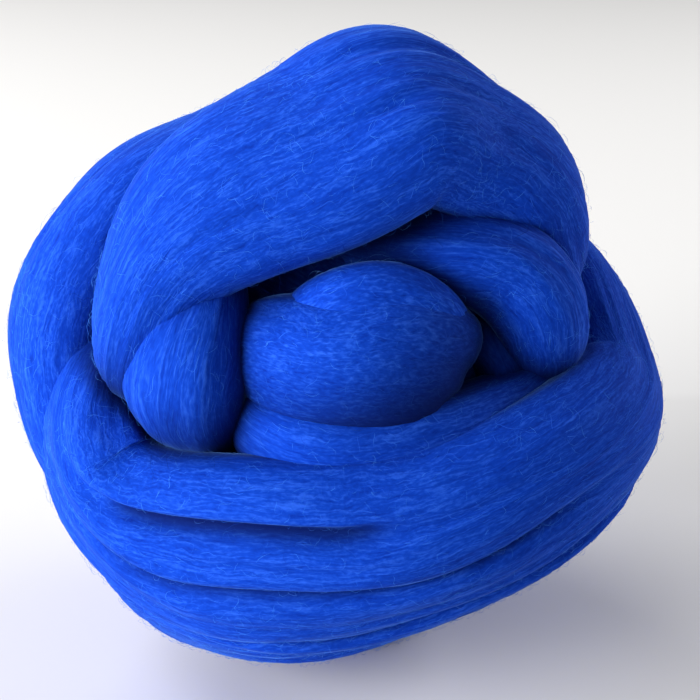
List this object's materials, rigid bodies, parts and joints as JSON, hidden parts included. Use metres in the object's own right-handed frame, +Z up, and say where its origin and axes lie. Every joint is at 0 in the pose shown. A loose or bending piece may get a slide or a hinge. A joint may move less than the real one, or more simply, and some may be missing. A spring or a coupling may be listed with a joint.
{
  "type": "ball of super chunky merino wool",
  "caption": "Loose hand-wound ball of thick unspun merino sliver, broad soft turns crossing round a hollow front.",
  "frame": {"origin": "on the surface that the ball rests on, at the middle of its flat spot", "axes": "+Z up, -Y towards the front, where the wound middle shows between the turns, +X to its right"},
  "size_m": [0.1648, 0.1571, 0.1681],
  "materials": {
    "wool": "bright blue combed merino fibre, unspun, matt with a soft sheen"
  },
  "bodies": {
    "root": {"wool_ball": "wool"}
  },
  "joints": []
}
